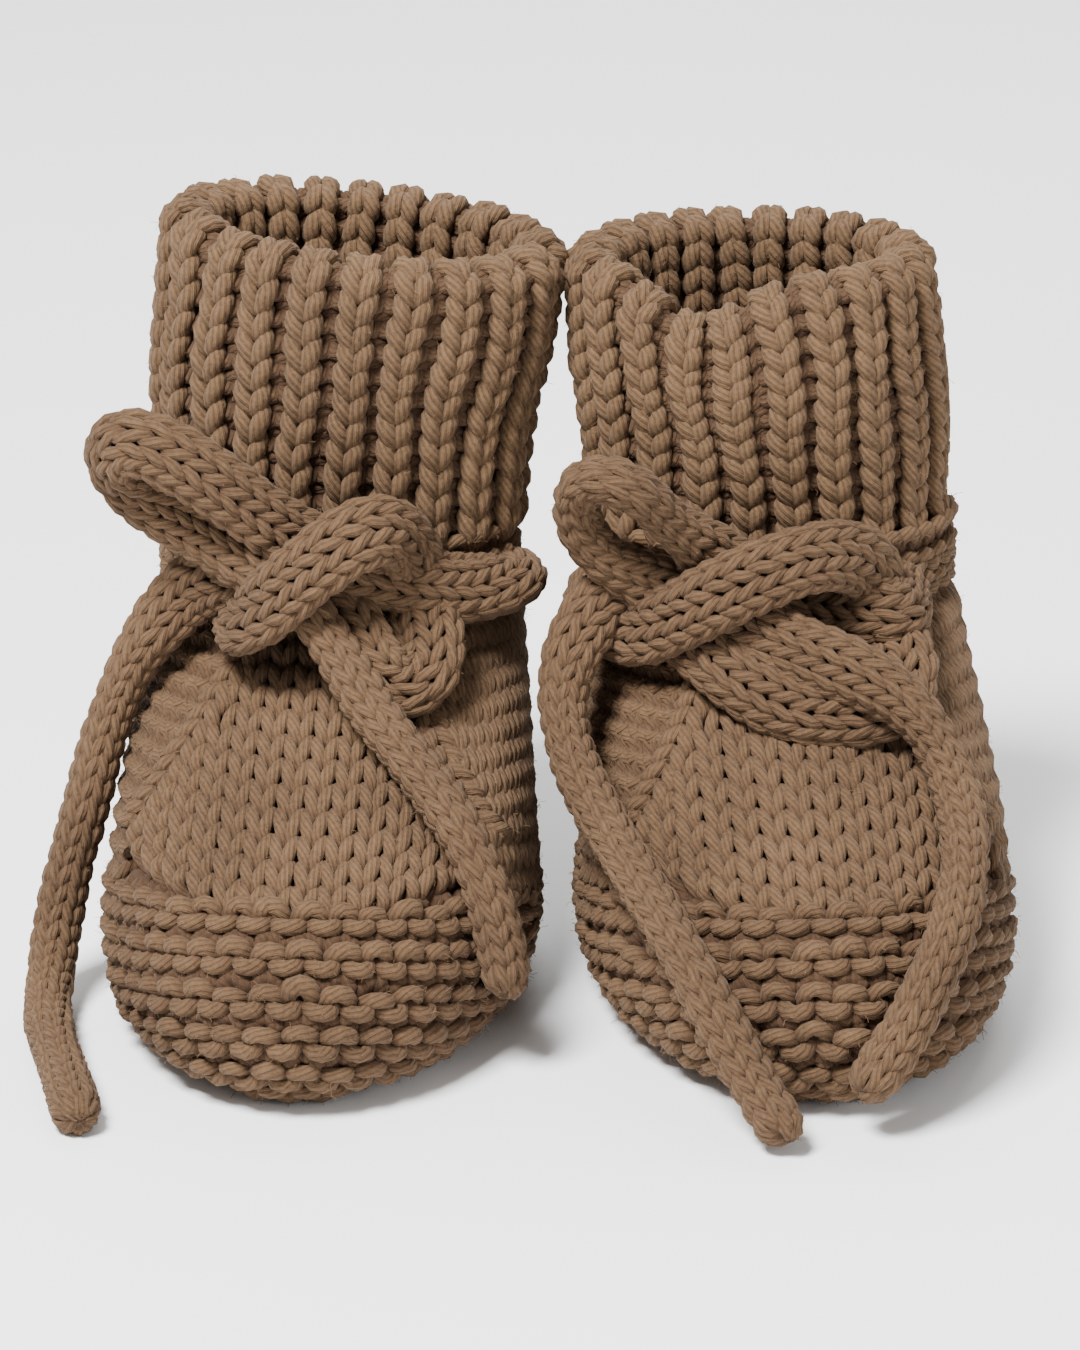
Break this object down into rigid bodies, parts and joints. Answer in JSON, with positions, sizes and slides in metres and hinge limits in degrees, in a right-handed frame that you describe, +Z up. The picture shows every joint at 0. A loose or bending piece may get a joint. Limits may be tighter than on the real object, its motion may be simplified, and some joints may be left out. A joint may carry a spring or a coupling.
{
  "type": "pair of knitted baby booties",
  "caption": "Pair of chunky knitted baby booties with ribbed turned-down cuffs and a knitted tie threaded round each ankle and tied in a bow.",
  "frame": {"origin": "middle of the pair, on the surface the booties stand on", "axes": "+Z up; the toes point to -Y; +X runs across the pair, toward the bootie on the right as seen from the toes"},
  "size_m": [0.1316, 0.1046, 0.103],
  "materials": {
    "knit_fabric": "matt hand-knitted cotton yarn, warm taupe",
    "tie_cord": "matt knitted cotton cord of the same yarn"
  },
  "bodies": {
    "left_bootie": {"left_sole": "knit_fabric", "left_foot_band": "knit_fabric", "left_instep": "knit_fabric", "left_quarter": "knit_fabric", "left_eyelet_band": "knit_fabric", "left_leg": "knit_fabric", "left_cuff": "knit_fabric", "left_tie_waist": "tie_cord", "left_tie_loop": "tie_cord", "left_tie_knot": "tie_cord"},
    "right_bootie": {"right_sole": "knit_fabric", "right_foot_band": "knit_fabric", "right_instep": "knit_fabric", "right_quarter": "knit_fabric", "right_eyelet_band": "knit_fabric", "right_leg": "knit_fabric", "right_cuff": "knit_fabric", "right_tie_waist": "tie_cord", "right_tie_loop": "tie_cord", "right_tie_knot": "tie_cord"}
  },
  "joints": [
    {"name": "right_bootie_apart", "type": "slide", "parent": "left_bootie", "child": "right_bootie", "axis": [1, 0, 0], "range_m": [0, 0.06]}
  ]
}
